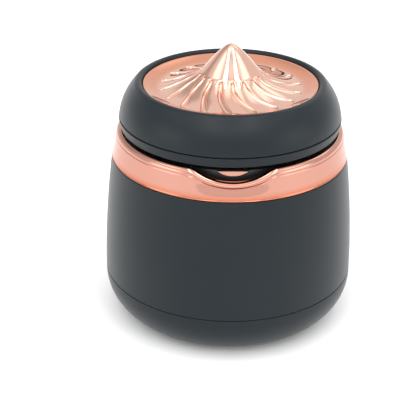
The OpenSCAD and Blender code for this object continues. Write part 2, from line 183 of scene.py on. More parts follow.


# %% [markdown]
# A finished piece rides on a CAD body and stands for its CAD node.
# One helper does both, so no piece is left behind when the lid swings open.

# %% Hand a piece over to the frame
def settle(obj, body, node):
    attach(obj, body)
    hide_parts(node)
    return obj


# %% [markdown]
# ## Cutting pockets
#
# Screw wells and pockets are cut with a Boolean modifier that is applied at once, so the piece stays one
# plain mesh. The cutters are small bmesh solids that are thrown away afterwards.

# %% Cutters and the Boolean
def cutter_box(low, high):
    build = bmesh.new()
    bmesh.ops.create_cube(build, size=1)
    size = Vector(high) - Vector(low)
    bmesh.ops.scale(build, vec=size * MM, verts=build.verts)
    bmesh.ops.translate(build, vec=(Vector(low) + size / 2) * MM, verts=build.verts)
    return build


def cutter_rod(centre, radius, height, segments=48):
    build = bmesh.new()
    place = Matrix.Translation((Vector(centre) + Vector((0, 0, height / 2))) * MM)
    bmesh.ops.create_cone(build, cap_ends=True, segments=segments, radius1=radius * MM,
                          radius2=radius * MM, depth=height * MM, matrix=place)
    return build


def carve(obj, cutters, operation="DIFFERENCE"):
    for build in cutters:
        mesh = bpy.data.meshes.new("cutter")
        build.to_mesh(mesh)
        build.free()
        tool = bpy.data.objects.new("cutter", mesh)
        bpy.context.scene.collection.objects.link(tool)
        modifier = obj.modifiers.new("cut", "BOOLEAN")
        modifier.operation, modifier.object, modifier.solver = operation, tool, "EXACT"
        apply_modifiers(obj)
        bpy.data.objects.remove(tool)
    return obj


def apply_modifiers(obj):
    bpy.context.view_layer.update()
    done = bpy.data.meshes.new_from_object(obj.evaluated_get(bpy.context.evaluated_depsgraph_get()))
    obj.modifiers.clear()
    obj.data = done


# %% [markdown]
# ## Barrel and base
#
# The barrel is moulded in two shells that meet at a fine seam low down: a base cover with a generous
# rounded bottom, and the tall shell above it, which leans in a little and bulges slightly. Both outlines
# come from the same two curves, so the skins run on across the seam.

# %% Base cover
base_round = 13.0
seam_z = 14.2
seam_w = 0.18
seam_depth = 0.45
wall = 2.0
foot_gap = 0.5
shoulder_in = 2.6
side_bulge = 0.6
barrel_top = ring_z - 0.1
corner_r = belly_r - base_round
seam_low, seam_high = seam_z - seam_w / 2, seam_z + seam_w / 2
seam_round = 0.18


def side_r(z):
    t = (z - base_round) / (barrel_top - base_round)
    return belly_r - shoulder_in * t + 4 * side_bulge * t * (1 - t)


def side(z_from, z_to, inset, steps):
    heights = [z_from + (z_to - z_from) * i / steps for i in range(steps + 1)]
    return [(side_r(z) - inset, z, 0) for z in heights]


floor_low = foot_gap + 0.9
seam_r = side_r(seam_z)
pad_r = radius_of("foot_pad")
start_deg = math.degrees(math.asin((foot_gap - base_round) / base_round))
inner_start = math.degrees(math.asin((foot_gap + wall - base_round) / (base_round - wall)))
base_outline = rounded(
    [(0, floor_low, 0), (pad_r + 0.1, floor_low, 0.1), (pad_r + 0.1, foot_gap, 0.2)]
    + arc(corner_r, base_round, base_round, start_deg, 0, 28)
    + [(side_r(seam_z - 0.5), seam_z - 0.5, 0), (seam_r, seam_low, seam_round)]
    + [(seam_r - seam_depth, seam_low, 0.05), (seam_r - seam_depth, seam_high, 0)]
    + [(seam_r - wall, seam_high, 0), (seam_r - wall, base_round, 0)]
    + arc(corner_r, base_round, base_round - wall, 0, inner_start, 12)
    + [(0, foot_gap + wall, 0)],
    closed=False,
)
base_cover = turned("base_cover_skin", base_outline)
well_r = 1.7
well_from, well_h = -1, 4.6
screw_ring_r = corner_r + 5
well_angles = [math.radians(30 + 120 * i) for i in range(3)]
well_spots = [(screw_ring_r * math.cos(a), screw_ring_r * math.sin(a), well_from) for a in well_angles]
carve(base_cover, [cutter_rod(spot, well_r, well_h) for spot in well_spots])
settle(base_cover, "pot", "base_cover")

# %% Barrel shell
barrel_outline = rounded(
    [(seam_r, seam_high, seam_round), (side_r(seam_z + 0.5), seam_z + 0.5, 0)]
    + side(seam_z + 1.5, barrel_top - 0.8, 0, 30)
    + [(side_r(barrel_top), barrel_top, 0.25), (side_r(barrel_top) - wall, barrel_top, 0.2)]
    + [(seam_r - wall - 0.1, seam_high, 0.1)],
)
barrel = settle(turned("barrel_skin", barrel_outline), "pot", "body_shell")

# %% [markdown]
# The pad under the pot is soft silicone with a few shallow rings, which grip better than a flat disc.

# %% Foot pad
pad_top = corners("foot_pad")[1][2]
ring_count, ring_pitch, ring_h = 5, 3.2, 0.3
pad_rings = [(0, ring_h, 0), (3, ring_h, 0.1)]
for i in range(ring_count):
    r = 4 + ring_pitch * i
    pad_rings += [(r, ring_h, 0.1), (r + 0.3, 0, 0.1), (r + 1.4, 0, 0.1), (r + 1.7, ring_h, 0.1)]
pad_edge = [(pad_r - 1.5, 0, 0.1), (pad_r, 0, 0.3), (pad_r, pad_top, 0.1), (0, pad_top, 0)]
pad_outline = rounded(pad_rings + pad_edge, steps=3, closed=False)
foot_pad = settle(turned("foot_pad_skin", pad_outline), "pot", "foot_pad")

# %% [markdown]
# ## The trim ring
#
# The ring would be an ordinary turned piece, but its top edge dips into a finger scoop at the front and
# drops away for the hinge at the back. A Boolean would leave hard edges that a mirror finish shows at
# once. So the ring is turned with an outline that changes on the way round: at every angle the same
# number of points is placed, and only their heights and depths differ. The lip, the soft dish for the
# fingertip and the plain ring then flow into each other.

# %% How high the ring's edge stands at each angle
ring_bore = 31.3
ring_face_r = 33.15
scoop_r = 20.0
scoop_depth = 3.1
scoop_centre_z = ring_top - scoop_depth + scoop_r
notch_half_w = radius_of("hinge_block") + 0.2
notch_drop = 3.9
corner_soft = 0.8


def soft_min(a, b, softness):
    """The smaller of two heights, with the corner between them rounded."""
    gap = max(softness - abs(a - b), 0) / softness
    return min(a, b) - gap * gap * softness / 4


def edge_height(angle):
    """Height of the ring's top edge. Angle 0 is the front."""
    across = ring_bore * math.sin(angle)
    if math.cos(angle) > 0 and abs(across) < scoop_r:
        scooped = scoop_centre_z - math.sqrt(scoop_r ** 2 - across ** 2)
        return soft_min(ring_top, scooped, corner_soft)
    if math.cos(angle) < 0 and abs(across) < notch_half_w:
        return ring_top - notch_drop
    return ring_top


# %% Sines of degrees, and the ring's outline at one angle
def cos_deg(a):
    return math.cos(math.radians(a))


def sin_deg(a):
    return math.sin(math.radians(a))


roll_w = 1.6
roll_h = 1.7
scoop_roll_h = 1.15
scoop_roll_more = 0.35
lip = 0.2
crease_w = 0.22
crease_depth = 0.09
foot_edge = 0.35
dish_low_z = ring_z + 1.4
face_steps = 20


def ring_outline(angle):
    top = edge_height(angle)
    front = math.cos(angle) > 0
    in_scoop = min(max(ring_top - top, 0) / scoop_depth, 1) if front else 0
    roll = roll_h + (scoop_roll_h - roll_h) * in_scoop
    crease_r, crease_z = ring_bore + lip + roll_w + scoop_roll_more * in_scoop, top - roll
    groove_w, groove_depth = crease_w * (1 + 0.8 * in_scoop), crease_depth * (1 + 3 * in_scoop)

    def face_line(z):
        return ring_foot_r + (ring_face_r - ring_foot_r) * (z - ring_z) / (ring_top - roll_h - ring_z)

    sunk = max(face_line(crease_z) - crease_r, 0) if front else 0

    def face(z):
        t = min(max((z - dish_low_z) / (crease_z - dish_low_z), 0), 1)
        return face_line(z) - sunk * t * t * (3 - 2 * t)

    points = [(ring_bore, ring_z), (ring_foot_r - foot_edge, ring_z)]
    points += [(ring_foot_r - foot_edge * (1 - sin_deg(a)), ring_z + foot_edge * (1 - cos_deg(a)))
               for a in (22, 45, 68, 90)]
    face_low, face_high = ring_z + foot_edge + 0.1, crease_z - groove_w
    for i in range(face_steps + 1):
        z = face_low + (face_high - face_low) * i / face_steps
        points.append((face(z), z))
    points.append((face(crease_z) - groove_depth, crease_z - groove_w / 2))
    across = crease_r - ring_bore - lip
    points += [(crease_r - across * (1 - cos_deg(a)), crease_z + roll * sin_deg(a))
               for a in (0, 8, 16, 24, 32, 40, 48, 56, 64, 72, 80, 90)]
    points += [(ring_bore + lip * (1 - sin_deg(a)), top - lip * (1 - cos_deg(a))) for a in (30, 60, 90)]
    return points


# %% Turn the changing outline
def ring_angles():
    """Fine steps round the scoop, wider ones elsewhere, and close pairs at the walls of the hinge notch."""
    fine_to, wide_steps = 40, 224
    fine = [math.radians(i / 3) for i in range(-fine_to * 3, fine_to * 3)]
    wide = [math.radians(fine_to + (360 - 2 * fine_to) * i / wide_steps) for i in range(wide_steps)]
    even = fine + wide
    wall_at = math.pi - math.asin(notch_half_w / ring_bore)
    walls = [centre + shift for centre in (wall_at, 2 * math.pi - wall_at) for shift in (-0.0006, 0.0006)]
    return [a for a in even if all(abs(a - w) > 0.004 for w in walls)] + walls


trim_angles = sorted(ring_angles())
columns = [ring_outline(a) for a in trim_angles]
trim_rings = [[(column[k][0] * math.sin(a), -column[k][0] * math.cos(a), column[k][1])
               for a, column in zip(trim_angles, columns)] for k in range(len(columns[0]))]
trim_ring = skin("trim_ring_skin", trim_rings, closed=True, crease_deg=50)
settle(trim_ring, "pot", "trim_ring")
print(f"scoop {scoop_depth} mm deep, ring {ring_top - ring_z:.1f} mm tall")

# %% [markdown]
# ## Lid crown and lower ring
#
# The crown is a soft, fat ring: one large arc up its side, then a tight roll into the dish opening. Below
# it the lower ring closes the lid. The two stop short of each other by 0.3 mm, so that a fine dark line
# runs between them.

# %% Lid crown
crown_r = 16.75
crown_sink = 2.0
opening_r = 25.35
rim_round = 0.9
ledge_drop = 6.0
ledge_w = 1.7
skirt_r = opening_r + 1.5
crown_seam = parting_z + parting_w / 2
crown_z = parting_z - crown_sink
crown_x = lid_r - 0.1 - math.sqrt(crown_r ** 2 - crown_sink ** 2)
crown_from = math.degrees(math.asin((crown_sink + 0.6) / crown_r))
crown_to = math.degrees(math.asin((rim_z - 1.2 - crown_z) / crown_r))
crown_outline = rounded(
    [(skirt_r, crown_seam, 0.1), (lid_r - 0.9, crown_seam, 0), (lid_r - 0.1, crown_seam, 0.2)]
    + arc(crown_x, crown_z, crown_r, crown_from, crown_to, 30)
    + [(opening_r + 1.75, rim_z, 1.9), (opening_r, rim_z, rim_round)]
    + [(opening_r, rim_z - ledge_drop, 0.2), (opening_r - ledge_w, rim_z - ledge_drop, 0.2)]
    + [(opening_r - ledge_w, rim_z - ledge_drop - 1.6, 0.1), (skirt_r, parting_z + 1.5, 0.1)],
    steps=9,
)
lid_crown = settle(turned("lid_crown_skin", crown_outline), "lid", "lid_shell")

# %% Lower ring of the lid, with its pockets
plate_t = 1.8
base_seam = parting_z - parting_w / 2
lid_base_outline = rounded(
    [(0, lid_z, 0), (lid_r - 0.45, lid_z, 0.3), (lid_r, base_seam, 0.18), (lid_r - 0.85, base_seam, 0.05)]
    + [(lid_r - 0.85, crown_seam - 0.05, 0), (skirt_r + 3.4, crown_seam - 0.05, 0.1)]
    + [(skirt_r + 3.4, lid_z + plate_t, 0.2), (0, lid_z + plate_t, 0)],
    closed=False,
)
lid_base = turned("lid_base_skin", lid_base_outline)
arm_low, arm_high = corners("lid_arm")
catch_low, catch_high = corners("lid_catch")
lid_screw_r = skirt_r + 1.4
screw_spots = [math.radians(45 + 90 * i) for i in range(4)]
pockets = [cutter_box((arm_low[0] - 0.1, arm_low[1] - 0.1, lid_z - 1), (arm_high[0] + 0.1, 40, lid_z + 1.5)),
           cutter_box((catch_low[0] - 0.1, catch_low[1] - 0.1, lid_z - 1),
                      (catch_high[0] + 0.1, catch_high[1] + 0.1, lid_z + 1.4))]
pockets += [cutter_rod((lid_screw_r * math.cos(a), lid_screw_r * math.sin(a), lid_z - 1), 1.7, 2.05)
            for a in screw_spots]
carve(lid_base, pockets)
settle(lid_base, "lid", "lid_base")

# %% [markdown]
# ## The dish with its peak
#
# The dish is one stamped skin. It has a little mountain with a rounded tip, eighteen rounded channels
# that start in arched heads at its foot and swirl outwards, and a smooth slope up to the opening. It is
# built as a height map on a polar grid. The trick is that the grid lines follow the channels: each line
# leans as the channel leans, and two of them run exactly along its edges. So the edges stay crisp without
# millions of faces.

# %% Heights of the dish without its channels
grooves = 18
groove_start = 8.7
slope_w = 4.9
floor_r = dish_r - slope_w
edge_z = rim_z - 0.7
floor_z = edge_z - 1.55
peak_slope = 1.25
tip_soft = 3.0
floor_curve = 1.7
foot_rise = 4.5
foot_blend = 1.1
slope_curve = 1.3


def peak_z(r):
    return peak_top + tip_soft - math.sqrt((peak_slope * r) ** 2 + tip_soft ** 2)


def soft_max(a, b, softness):
    """The larger of two heights, with the corner between them filled."""
    gap = max(softness - abs(a - b), 0) / softness
    return max(a, b) + gap * gap * softness / 4


def dish_z(r):
    if r < floor_r:
        foot = floor_z + foot_rise * ((floor_r - r) / (floor_r - groove_start)) ** floor_curve
        return soft_max(peak_z(r), foot, foot_blend)
    return floor_z + (edge_z - floor_z) * ((r - floor_r) / slope_w) ** slope_curve


# %% Width, depth and lean of a channel
half_deg = 3.8
head_w = 0.62
tail_w = 2.2
head_depth = 1.05
end_depth = 0.5
swirl_deg = 15.5
swirl_from = 9.0
swirl_to = floor_r + 0.8
channel_end = floor_r + 0.4


def ease(t):
    """Rises from 0 to 1 without a corner at either end."""
    t = min(max(t, 0), 1)
    return t * t * (3 - 2 * t)


def swirl(r):
    """How far the grid has turned at this radius, in radians."""
    return math.radians(swirl_deg) * ease((r - swirl_from) / (swirl_to - swirl_from))


def channel_at(r):
    """Half width and depth of a channel at this radius, both 0 beyond its ends."""
    along = (r - groove_start) / (channel_end - groove_start)
    if along <= 0 or along >= 1:
        return 0.0, 0.0
    head = min((r - groove_start) / head_w, 1)
    tail = min((channel_end - r) / tail_w, 1)
    arch = math.sqrt(1 - (1 - head) ** 2)
    close = math.sqrt(1 - (1 - tail) ** 2)
    depth = head_depth + (end_depth - head_depth) * along ** 0.7
    return r * math.radians(half_deg) * arch * close, depth * arch ** 0.5 * close


# %% The polar grid
first_head = math.radians(1.5)
inside_steps = 16
rib_steps = 14
rib_crown = 0.16
rounding = 0.6
narrowest = 0.02
pitch = 2 * math.pi / grooves
radii = [0.12, 0.25, 0.4, 0.6, 0.85, 1.15, 1.5, 2, 2.6, 3.3, 4.1, 5, 6, 7, 7.8, 8.3, 8.6]
radii += [groove_start + head_w * (1 - math.cos(math.radians(a))) for a in range(4, 91, 8)]
first = radii[-1]
radii += [first + (channel_end - first) * i / 34 for i in range(1, 35)]
radii += [channel_end + (dish_r - 0.3 - channel_end) * i / 12 for i in range(1, 13)]


def spacing(i):
    """Even steps that crowd towards both ends, from -1 to 1."""
    return math.sin(math.pi * (i / inside_steps - 0.5))


def dish_ring(r):
    half_w, depth = channel_at(r)
    half_angle = max(half_w / r, pitch * 0.10)
    ring = []
    for g in range(grooves):
        middle = g * pitch + first_head + swirl(r)
        for i in range(inside_steps):
            x = spacing(i)
            offset = x * half_w / r if half_w > narrowest else x * half_angle
            width = half_w / r if half_w > narrowest else half_angle
            sunk = depth * max(1 - (offset / width) ** 2, 0) ** rounding if half_w > narrowest else 0
            ring.append((middle + offset, dish_z(r) - sunk))
        edge = half_w / r if half_w > narrowest else half_angle
        rib = pitch - 2 * edge
        crown_h = rib_crown * depth
        for i in range(rib_steps):
            t = i / rib_steps
            ring.append((middle + edge + rib * t, dish_z(r) + crown_h * math.sin(math.pi * t) ** rounding))
    return [(r * math.sin(a), -r * math.cos(a), z) for a, z in ring]


# %% Close the dish with a rolled edge and an underside
dish_points = inside_steps + rib_steps
dish_rows = [[(0, 0, peak_top)]] + [dish_ring(r) for r in radii]


def plain_ring(r, z):
    count = grooves * dish_points
    last = dish_rows[-1]
    return [(r * x / math.hypot(x, y), r * y / math.hypot(x, y), z) for x, y, _ in last[:count]]


outer_z = dish_z(dish_r - 0.3)
dish_rows += [plain_ring(dish_r - 0.1, outer_z - 0.02), plain_ring(dish_r, outer_z - 0.15)]
dish_rows += [plain_ring(dish_r, dish_low[2]), plain_ring(dish_r - 1.2, dish_low[2])]
dish_t = 1.2
dish_rows += [plain_ring(r, dish_z(r) - dish_t) for r in (23.7, 22, 20, 17, 14, 11, 8.7, 6, 4, 2, 1)]
dish_rows += [[(0, 0, peak_z(0) - dish_t)]]
lid_dish = skin("lid_dish_skin", dish_rows, closed=False, crease_deg=32)
settle(lid_dish, "lid", "lid_dish")
print(f"peak {peak_top:.1f} mm, floor {floor_z:.1f} mm, {grooves} channels")

# %% [markdown]
# ## The push button
#
# A flat half moon with rounded edges. It is drawn flat, extruded, and its edges are rounded with a Bevel
# modifier that is applied straight away.

# %% Half-moon button
button_low, button_high = corners("latch_button")
button_w = button_high[0] - button_low[0]
button_h = button_high[2] - button_low[2]
moon_r = (button_w ** 2 / 4 + button_h ** 2) / (2 * button_h)
moon_half_deg = math.degrees(math.asin(button_w / 2 / moon_r))


def extruded(name, outline_xz, y_front, y_back, bevel, segments=3):
    """Pulls a flat outline from its front to its back along Y and rounds the edges."""
    build = bmesh.new()
    front = [build.verts.new(Vector((x, y_front, z)) * MM) for x, z in outline_xz]
    back = [build.verts.new(Vector((x, y_back, z)) * MM) for x, z in outline_xz]
    build.faces.new(front)
    build.faces.new(list(reversed(back)))
    for i in range(len(front)):
        j = (i + 1) % len(front)
        build.faces.new([front[j], front[i], back[i], back[j]])
    bmesh.ops.recalc_face_normals(build, faces=build.faces)
    mesh = bpy.data.meshes.new(name)
    build.to_mesh(mesh)
    build.free()
    obj = make_object(name, mesh, 35)
    modifier = obj.modifiers.new("round", "BEVEL")
    modifier.width, modifier.segments, modifier.limit_method = bevel * MM, segments, "ANGLE"
    modifier.angle_limit = math.radians(35)
    apply_modifiers(obj)
    return obj


moon_outline = [(moon_r * math.sin(math.radians(moon_half_deg * (1 - i / 12))),
                 button_low[2] + moon_r - moon_r * math.cos(math.radians(moon_half_deg * (1 - i / 12))))
                for i in range(25)]
button = extruded("push_button_skin", moon_outline, button_low[1], button_high[1], 0.18)
settle(button, "latch", "latch_button")

# %% [markdown]
# ## Cup, plate and seal
#
# The liner cup is drawn sheet steel with a flat flange and a well-rounded bottom corner. Above it the lid
# carries a thin steel plate with a pressed bead, and a soft seal around the plate.

# %% Liner cup
cup_low, cup_high = corners("liner_cup")
sheet = 0.8
flange_w = 2.6
flange_r = radius_of("liner_cup")
cup_r = flange_r - flange_w
cup_corner = 4.0
cup_outline = rounded(
    [(0, cup_low[2], 0), (cup_r, cup_low[2], cup_corner), (cup_r, cup_high[2] - sheet, 0.1)]
    + [(flange_r, cup_high[2] - sheet, 0.3), (flange_r, cup_high[2], 0.3), (cup_r - sheet, cup_high[2], 0.8)]
    + [(cup_r - sheet, cup_low[2] + sheet, cup_corner - sheet), (0, cup_low[2] + sheet, 0)],
    steps=8, closed=False,
)
liner_cup = settle(turned("liner_cup_skin", cup_outline), "pot", "liner_cup")

# %% Plate and seal under the lid
plate_low, plate_high = corners("lid_plate")
plate_r = radius_of("lid_plate")
plate_outline = rounded(
    [(0, plate_low[2], 0), (plate_r - 5, plate_low[2], 0.4), (plate_r - 4.4, plate_low[2] + 0.3, 0.4)]
    + [(plate_r - 3.2, plate_low[2] + 0.3, 0.4), (plate_r - 2.6, plate_low[2], 0.4)]
    + [(plate_r, plate_low[2], 0.15), (plate_r, plate_high[2], 0.05), (0, plate_high[2], 0)],
    closed=False,
)
lid_plate = settle(turned("lid_plate_skin", plate_outline), "lid", "lid_plate")
seal_low, seal_high = corners("lid_gasket")
seal_r = radius_of("lid_gasket")
seal_in = plate_r + 0.1
seal_outline = rounded(
    [(seal_in, seal_high[2], 0.05), (seal_in, seal_low[2] + 0.7, 0.3)]
    + [(seal_in + 0.9, seal_low[2] + 0.6, 0.3), (seal_in + 1.4, seal_low[2], 0.35)]
    + [(seal_r - 0.5, seal_low[2], 0.35), (seal_r, seal_low[2] + 0.6, 0.3), (seal_r, seal_high[2], 0.05)],
)
lid_seal = settle(turned("lid_seal_skin", seal_outline), "lid", "lid_gasket")

# %% [markdown]
# ## Springs
#
# A spring is a round wire along a helix. The path is worked out turn by turn and a small circle is swept
# along it, which keeps the wire round and its ends closed. The hinge spring also has two straight legs, one
# for the hinge block and one for the lid's arm. Its skin rides on the pot and keeps its rest shape, so it
# isn't wound up when the lid opens.

# %% Sweep a round wire along a path
def wire(name, path, radius, sides=12):
    rings = []
    up = Vector((0, 0, 1))
    for i, point in enumerate(path):
        along = (path[min(i + 1, len(path) - 1)] - path[max(i - 1, 0)]).normalized()
        side_dir = up.cross(along).normalized()
        other = along.cross(side_dir)
        rings.append([point + radius * (math.cos(2 * math.pi * k / sides) * side_dir
                                        + math.sin(2 * math.pi * k / sides) * other) for k in range(sides)])
    rings = [[path[0]]] + rings + [[path[-1]]]
    return rings


def helix(mean_r, turns, length, start_deg, direction, leg_start=0.0, leg_end=0.0, steps=28):
    count = math.ceil(turns * steps)
    path = []
    for i in range(count + 1):
        a = math.radians(start_deg + direction * 360 * turns * i / count)
        path.append(Vector((mean_r * math.cos(a), mean_r * math.sin(a), length * i / count)))
    a_0 = math.radians(start_deg)
    a_1 = math.radians(start_deg + direction * 360 * turns)
    if leg_start:
        path.insert(0, path[0] + direction * leg_start * Vector((math.sin(a_0), -math.cos(a_0), 0)))
    if leg_end:
        path.append(path[-1] + direction * leg_end * Vector((-math.sin(a_1), math.cos(a_1), 0)))
    return path


def placed_wire(name, path, radius, place):
    rings = wire(name, path, radius)
    moved = [[tuple(place @ Vector(p)) for p in ring] for ring in rings]
    return skin(name, moved, closed=False, crease_deg=60)


# %% Both springs
lspring_low, lspring_high = corners("latch_spring")
latch_wire = 0.3
latch_mean_r = (lspring_high[0] - lspring_low[0] - latch_wire) / 2
latch_z = (lspring_low[2] + lspring_high[2]) / 2
latch_place = (Matrix.Translation((0, lspring_low[1] + latch_wire / 2, latch_z))
               @ Matrix.Rotation(math.radians(-90), 4, "X"))
latch_length = lspring_high[1] - lspring_low[1] - latch_wire
latch_spring = placed_wire("latch_spring_skin", helix(latch_mean_r, 4.5, latch_length, 0, 1),
                           latch_wire / 2, latch_place)
settle(latch_spring, "pot", "latch_spring")
press = next(j for j in frame["record"]["behaviour"]["joints"] if j["name"] == "button_press")
press_travel = press["range_m"][1] / MM
spring_run = lspring_high[1] - lspring_low[1]
1 - press_travel / spring_run
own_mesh(latch_spring)
print(f"latch spring {spring_run:.2f} mm long, pressed by {press_travel:.1f} mm")

pin_low, pin_high = corners("hinge_pin")
hinge_y, hinge_z = (pin_low[1] + pin_high[1]) / 2, (pin_low[2] + pin_high[2]) / 2
hspring_low, hspring_high = corners("hinge_spring")
hinge_wire = 0.5
hinge_mean_r = 1.4
hinge_length = hspring_high[0] - hspring_low[0] - hinge_wire
hinge_place = (Matrix.Translation((hspring_low[0] + hinge_wire / 2, hinge_y, hinge_z))
               @ Matrix.Rotation(math.radians(90), 4, "Y"))
hinge_spring = placed_wire(
    "hinge_spring_skin",
    helix(hinge_mean_r, 6.75, hinge_length, 270, -1, hinge_z - hspring_low[2], 4.5),
    hinge_wire / 2, hinge_place)
settle(hinge_spring, "pot", "hinge_spring")

# %% [markdown]
# ## Finishes
#
# Shader maths reads best as arithmetic. The small class below wraps one output socket, and sums, products
# and powers of it add the Math nodes by themselves. Every other node comes from one method, which takes
# the node's type, its settings, and then the values or links of its inputs.

# %% Write shader maths as expressions
class Value:
    def __init__(self, finish, socket):
        self.finish, self.socket = finish, socket

    def maths(self, operation, *others):
        return self.finish.node("ShaderNodeMath", {"operation": operation}, self, *others)

    def __add__(self, other):
        return self.maths("ADD", other)

    def __mul__(self, other):
        return self.maths("MULTIPLY", other)

    def __sub__(self, other):
        return self.maths("SUBTRACT", other)

    def __pow__(self, other):
        return self.maths("POWER", other)

    def __rsub__(self, other):
        return self.finish.node("ShaderNodeMath", {"operation": "SUBTRACT"}, other, self)

    __radd__ = __add__
    __rmul__ = __mul__


class Nodes:
    """A node tree, and the place on the surface or in the sky that its textures are read at."""

    def __init__(self, tree, coordinates):
        self.tree = tree
        self.place = self.node("ShaderNodeTexCoord", {}, out=coordinates)

    def node(self, kind, settings, *inputs, out=0, **named):
        made = self.tree.nodes.new(kind)
        for key, value in settings.items():
            setattr(made, key, value)
        pairs = list(zip(made.inputs, inputs))
        pairs += [(made.inputs[key.replace("_", " ")], value) for key, value in named.items()]
        for socket, value in pairs:
            self.feed(socket, value)
        return Value(self, made.outputs[out])

    def feed(self, socket, value):
        if isinstance(value, Value):
            self.tree.links.new(value.socket, socket)
        else:
            socket.default_value = value

    def noise(self, scale, detail=2.0, at=None):
        return self.node("ShaderNodeTexNoise", {}, Vector=at or self.place, Scale=scale, Detail=detail)

    def ramp(self, value, start, end):
        """Eases from 0 to 1 while the value goes from start to end."""
        settings = {"interpolation_type": "SMOOTHSTEP"}
        return self.node("ShaderNodeMapRange", settings, value, start, end)

    def apart(self, vector):
        split = self.node("ShaderNodeSeparateXYZ", {}, vector)
        return [Value(self, socket) for socket in split.socket.node.outputs]

    def blend(self, factor, colour_a, colour_b):
        mix = self.tree.nodes.new("ShaderNodeMix")
        mix.data_type = "RGBA"
        self.feed(mix.inputs["Factor"], factor)
        self.feed(mix.inputs["A"], colour_a)
        self.feed(mix.inputs["B"], colour_b)
        return Value(self, next(s for s in mix.outputs if s.type == "RGBA"))


class Finish(Nodes):
    """One material: its Principled shader and the nodes that feed it."""

    def __init__(self, name, **constants):
        self.material = bpy.data.materials.new(name)
        self.material.use_nodes = True
        super().__init__(self.material.node_tree, "Object")
        self.shader = self.tree.nodes["Principled BSDF"]
        for socket_name, value in constants.items():
            self.shader.inputs[socket_name.replace("_", " ")].default_value = value

    def bump(self, height, strength, distance_mm):
        normal = self.node("ShaderNodeBump", {}, Strength=strength, Distance=distance_mm * MM, Height=height,
                           out="Normal")
        self.feed(self.shader.inputs["Normal"], normal)

    def set(self, socket_name, value):
        self.feed(self.shader.inputs[socket_name], value)


def paint(finish, *objects):
    for obj in objects:
        obj.data.materials.clear()
        obj.data.materials.append(finish.material)
    print(f"{finish.material.name}: {len(finish.tree.nodes)} nodes, on {len(objects)} objects")


# %% [markdown]
# ### Slate soft-touch paint
#
# The paint is a dark blue-grey with a dry satin sheen. Two close tints drift into each other so slowly
# that the eye reads one colour, and a very fine grain breaks the reflection up, as sprayed paint does.

# %% Slate paint
slate = Finish("slate_paint", Specular_IOR_Level=0.24, Sheen_Weight=0.06, Sheen_Roughness=0.35)
drift = slate.noise(35, 3)
slate.set("Base Color", slate.blend(drift, (0.0045, 0.009, 0.0125, 1), (0.0085, 0.013, 0.0165, 1)))
grain = slate.noise(5200, 2)
slate.set("Roughness", 0.32 + 0.08 * grain)
slate.bump(grain, 0.25, 0.012)
paint(slate, base_cover, barrel, lid_crown, lid_base)

# %% [markdown]
# ### Rose gold plating
#
# Plated plastic is a true mirror with a warm tint. What keeps it from looking like a computer's mirror is
# the slight waviness of the moulding under it, and a haze that isn't quite even. From the
# edge of the dish's floor outward a warmer tint is blended in, by the distance from the axis. It is a
# painted reflection, for the deeper colour that the steep mirror slope would get from the metal beside it.

# %% Rose gold
def rose_gold(name, pale, warm):
    """A mirror plating whose tint drifts between two close colours."""
    finish = Finish(name, Metallic=1.0)
    tint = finish.blend(finish.noise(60, 2), pale, warm)
    finish.set("Roughness", 0.04 + 0.05 * finish.noise(900, 3))
    finish.bump(finish.noise(160, 1), 0.22, 0.02)
    return finish, tint


rose, dish_tint = rose_gold("rose_plate", (0.77, 0.485, 0.385, 1), (0.77, 0.46, 0.355, 1))
east, north, up = rose.apart(rose.place)
from_axis = (east * east + north * north) ** 0.5
# Painted reflection: a warmer, deeper tint on the slope, for the metal beside it that it would mirror.
slope_reflection = rose.ramp(from_axis, (floor_r - 0.5) * MM, (floor_r + 1.8) * MM)
rose.set("Base Color", rose.blend(slope_reflection, dish_tint, (0.73, 0.325, 0.21, 1)))
paint(rose, lid_dish)

# %% [markdown]
# The ring and the button get a darker copy of the rose gold than the dish, as painted shade, because they
# stand upright and face the bright surround. Towards the ring's foot a warmer tint still is blended in, by
# height.
# That band is a painted reflection, for the deeper colour the foot would get from mirroring the ring's own
# metal, and isn't a second metal.

# %% Rose gold of the ring and the button
# A darker copy of the dish's rose gold: painted shade for the upright ring and button.
ring_rose_shaded, ring_shaded_tint = rose_gold("rose_plate_ring_shaded", (0.555, 0.285, 0.222, 1), (0.565, 0.272, 0.208, 1))
up = ring_rose_shaded.apart(ring_rose_shaded.place)[2]
# Painted reflection: a warmer, deeper band near the ring's foot, for the ring's own metal that it would
# mirror.
foot_reflection = 1 - ring_rose_shaded.ramp(up, (ring_z + 0.3) * MM, (ring_z + 2.4) * MM)
ring_rose_shaded.set("Base Color", ring_rose_shaded.blend(foot_reflection, ring_shaded_tint, (0.56, 0.185, 0.11, 1)))
paint(ring_rose_shaded, trim_ring, button)

# %% [markdown]
# ### Black moulded plastic
#
# The collar, the latch's slide, the hinge block, the catch and the arm are moulded in black, with a fine
# spark texture that dulls their gloss a little.

# %% Black plastic
black = Finish("black_plastic", Base_Color=(0.012, 0.012, 0.013, 1))
spark = black.noise(3800, 2)
black.set("Roughness", 0.3 + 0.16 * spark)
black.bump(spark, 0.3, 0.015)
nodes = frame["nodes"]
black_nodes = ("neck_collar", "latch_slide", "hinge_block", "lid_catch", "lid_arm")
paint(black, *[nodes[name] for name in black_nodes])

# %% [markdown]
# ### Brushed sheet, wire, screws and silicone
#
# Spun sheet steel carries rings of fine scratches about its axis, so its noise is read at the distance
# from the axis and at the height, and doesn't change on the way round. Wire and screws are drawn or
# plated and only need an uneven gloss. Silicone is dull, with a fine bloom.

